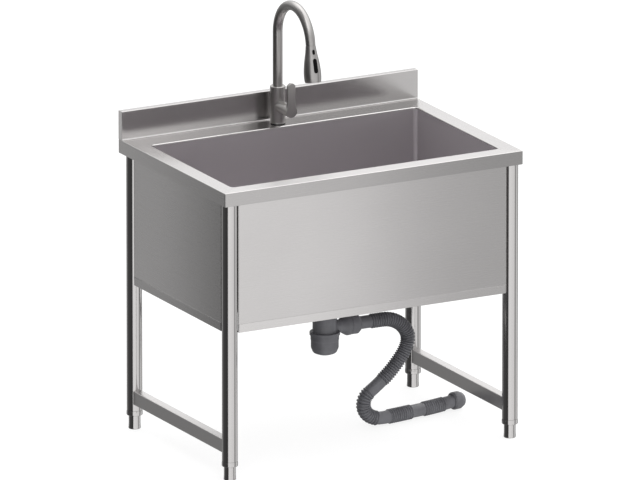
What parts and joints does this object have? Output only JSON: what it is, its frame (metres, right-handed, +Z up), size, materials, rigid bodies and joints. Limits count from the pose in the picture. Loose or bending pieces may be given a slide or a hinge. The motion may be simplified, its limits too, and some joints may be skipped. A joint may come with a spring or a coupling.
{
  "type": "free-standing utility sink",
  "caption": "Free-standing stainless steel sink with a deep basin, backsplash, skirt panels, pull-down spray faucet, bottle trap and corrugated drain hose.",
  "frame": {"origin": "on the floor, under the middle of the rim's outline", "axes": "+X to the right, +Y to the back (towards the wall), +Z up, seen by a person who stands at the sink"},
  "size_m": [0.9, 0.612, 1.1611],
  "materials": {
    "sheet_steel": "brushed sheet, satin",
    "tube_steel": "polished tube, satin",
    "drain_steel": "pressed steel, semi-bright",
    "faucet_nickel": "brushed nickel",
    "brass": "machined",
    "zinc_screw": "zinc plated",
    "charcoal_plastic": "moulded, satin",
    "black_plastic": "moulded, glossy",
    "white_plastic": "moulded",
    "black_rubber": "matte",
    "braided_hose": "nylon braid"
  },
  "bodies": {
    "sink": {"back_panel": "sheet_steel", "backsplash": "sheet_steel", "basin": "sheet_steel", "bonnet_dome": "faucet_nickel", "drain_flange": "drain_steel", "drain_gasket": "black_rubber", "drain_hose": "charcoal_plastic", "drain_locknut": "charcoal_plastic", "faucet_base_gasket": "black_rubber", "faucet_body": "faucet_nickel", "faucet_shank": "brass", "front_panel": "sheet_steel", "hose_end_fitting": "charcoal_plastic", "left_panel": "sheet_steel", "leg_back_left": "tube_steel", "leg_back_right": "tube_steel", "leg_front_left": "tube_steel", "leg_front_right": "tube_steel", "leg_insert_back_left": "tube_steel", "leg_insert_back_right": "tube_steel", "leg_insert_front_left": "tube_steel", "leg_insert_front_right": "tube_steel", "leg_screw_back_left": "zinc_screw", "leg_screw_back_right": "zinc_screw", "leg_screw_front_left": "zinc_screw", "leg_screw_front_right": "zinc_screw", "leg_spigot_back_left": "tube_steel", "leg_spigot_back_right": "tube_steel", "leg_spigot_front_left": "tube_steel", "leg_spigot_front_right": "tube_steel", "outlet_nut": "charcoal_plastic", "right_panel": "sheet_steel", "rim_deck": "sheet_steel", "shank_nut": "brass", "shank_washer": "zinc_screw", "side_rail_left": "tube_steel", "side_rail_right": "tube_steel", "spout_bush": "white_plastic", "trap_body": "charcoal_plastic", "trap_bottle": "charcoal_plastic", "trap_dip_tube": "charcoal_plastic", "trap_inlet_nut": "charcoal_plastic", "trap_seal": "black_rubber", "valve_cartridge": "white_plastic"},
    "foot_front_left": {"foot_front_left": "tube_steel"},
    "foot_front_right": {"foot_front_right": "tube_steel"},
    "foot_back_left": {"foot_back_left": "tube_steel"},
    "foot_back_right": {"foot_back_right": "tube_steel"},
    "basket": {"strainer_basket": "drain_steel"},
    "spout": {"spout_tube": "faucet_nickel", "dock_collar": "white_plastic"},
    "spray_head": {"spray_head": "faucet_nickel", "spray_nozzle": "black_plastic", "spray_hose": "braided_hose"},
    "button_small": {"spray_button_small": "black_plastic"},
    "button_long": {"spray_button_long": "black_plastic"},
    "valve_stem": {"valve_stem": "brass"},
    "lever": {"lever_stem": "brass", "lever_handle": "faucet_nickel"}
  },
  "joints": [
    {"name": "foot_front_left_adjust", "type": "slide", "parent": "sink", "child": "foot_front_left", "axis": [0, 0, -1], "range_m": [0, 0.025]},
    {"name": "foot_front_right_adjust", "type": "slide", "parent": "sink", "child": "foot_front_right", "axis": [0, 0, -1], "range_m": [0, 0.025]},
    {"name": "foot_back_left_adjust", "type": "slide", "parent": "sink", "child": "foot_back_left", "axis": [0, 0, -1], "range_m": [0, 0.025]},
    {"name": "foot_back_right_adjust", "type": "slide", "parent": "sink", "child": "foot_back_right", "axis": [0, 0, -1], "range_m": [0, 0.025]},
    {"name": "basket_lift", "type": "slide", "parent": "sink", "child": "basket", "axis": [0, 0, 1], "range_m": [0, 0.06]},
    {"name": "spout_swivel", "type": "hinge", "parent": "sink", "child": "spout", "pos_m": [0, 0.244, 0.87], "axis": [0, 0, 1], "range_deg": [-60, 60]},
    {"name": "spray_pull", "type": "slide", "parent": "spout", "child": "spray_head", "axis": [0, -0.1392, -0.9903], "range_m": [0, 0.38]},
    {"name": "button_small_press", "type": "slide", "parent": "spray_head", "child": "button_small", "axis": [0, 0.9613, -0.2756], "range_m": [0, 0.001], "stiffness_N_per_m": 400},
    {"name": "button_long_press", "type": "slide", "parent": "spray_head", "child": "button_long", "axis": [0, 0.9613, -0.2756], "range_m": [0, 0.001], "stiffness_N_per_m": 400},
    {"name": "lever_turn", "type": "hinge", "parent": "sink", "child": "valve_stem", "pos_m": [0, 0.19, 0.851], "axis": [0, 1, 0], "range_deg": [-45, 45]},
    {"name": "lever_lift", "type": "hinge", "parent": "valve_stem", "child": "lever", "pos_m": [0, 0.19, 0.851], "axis": [1, 0, 0], "range_deg": [0, 20]}
  ]
}
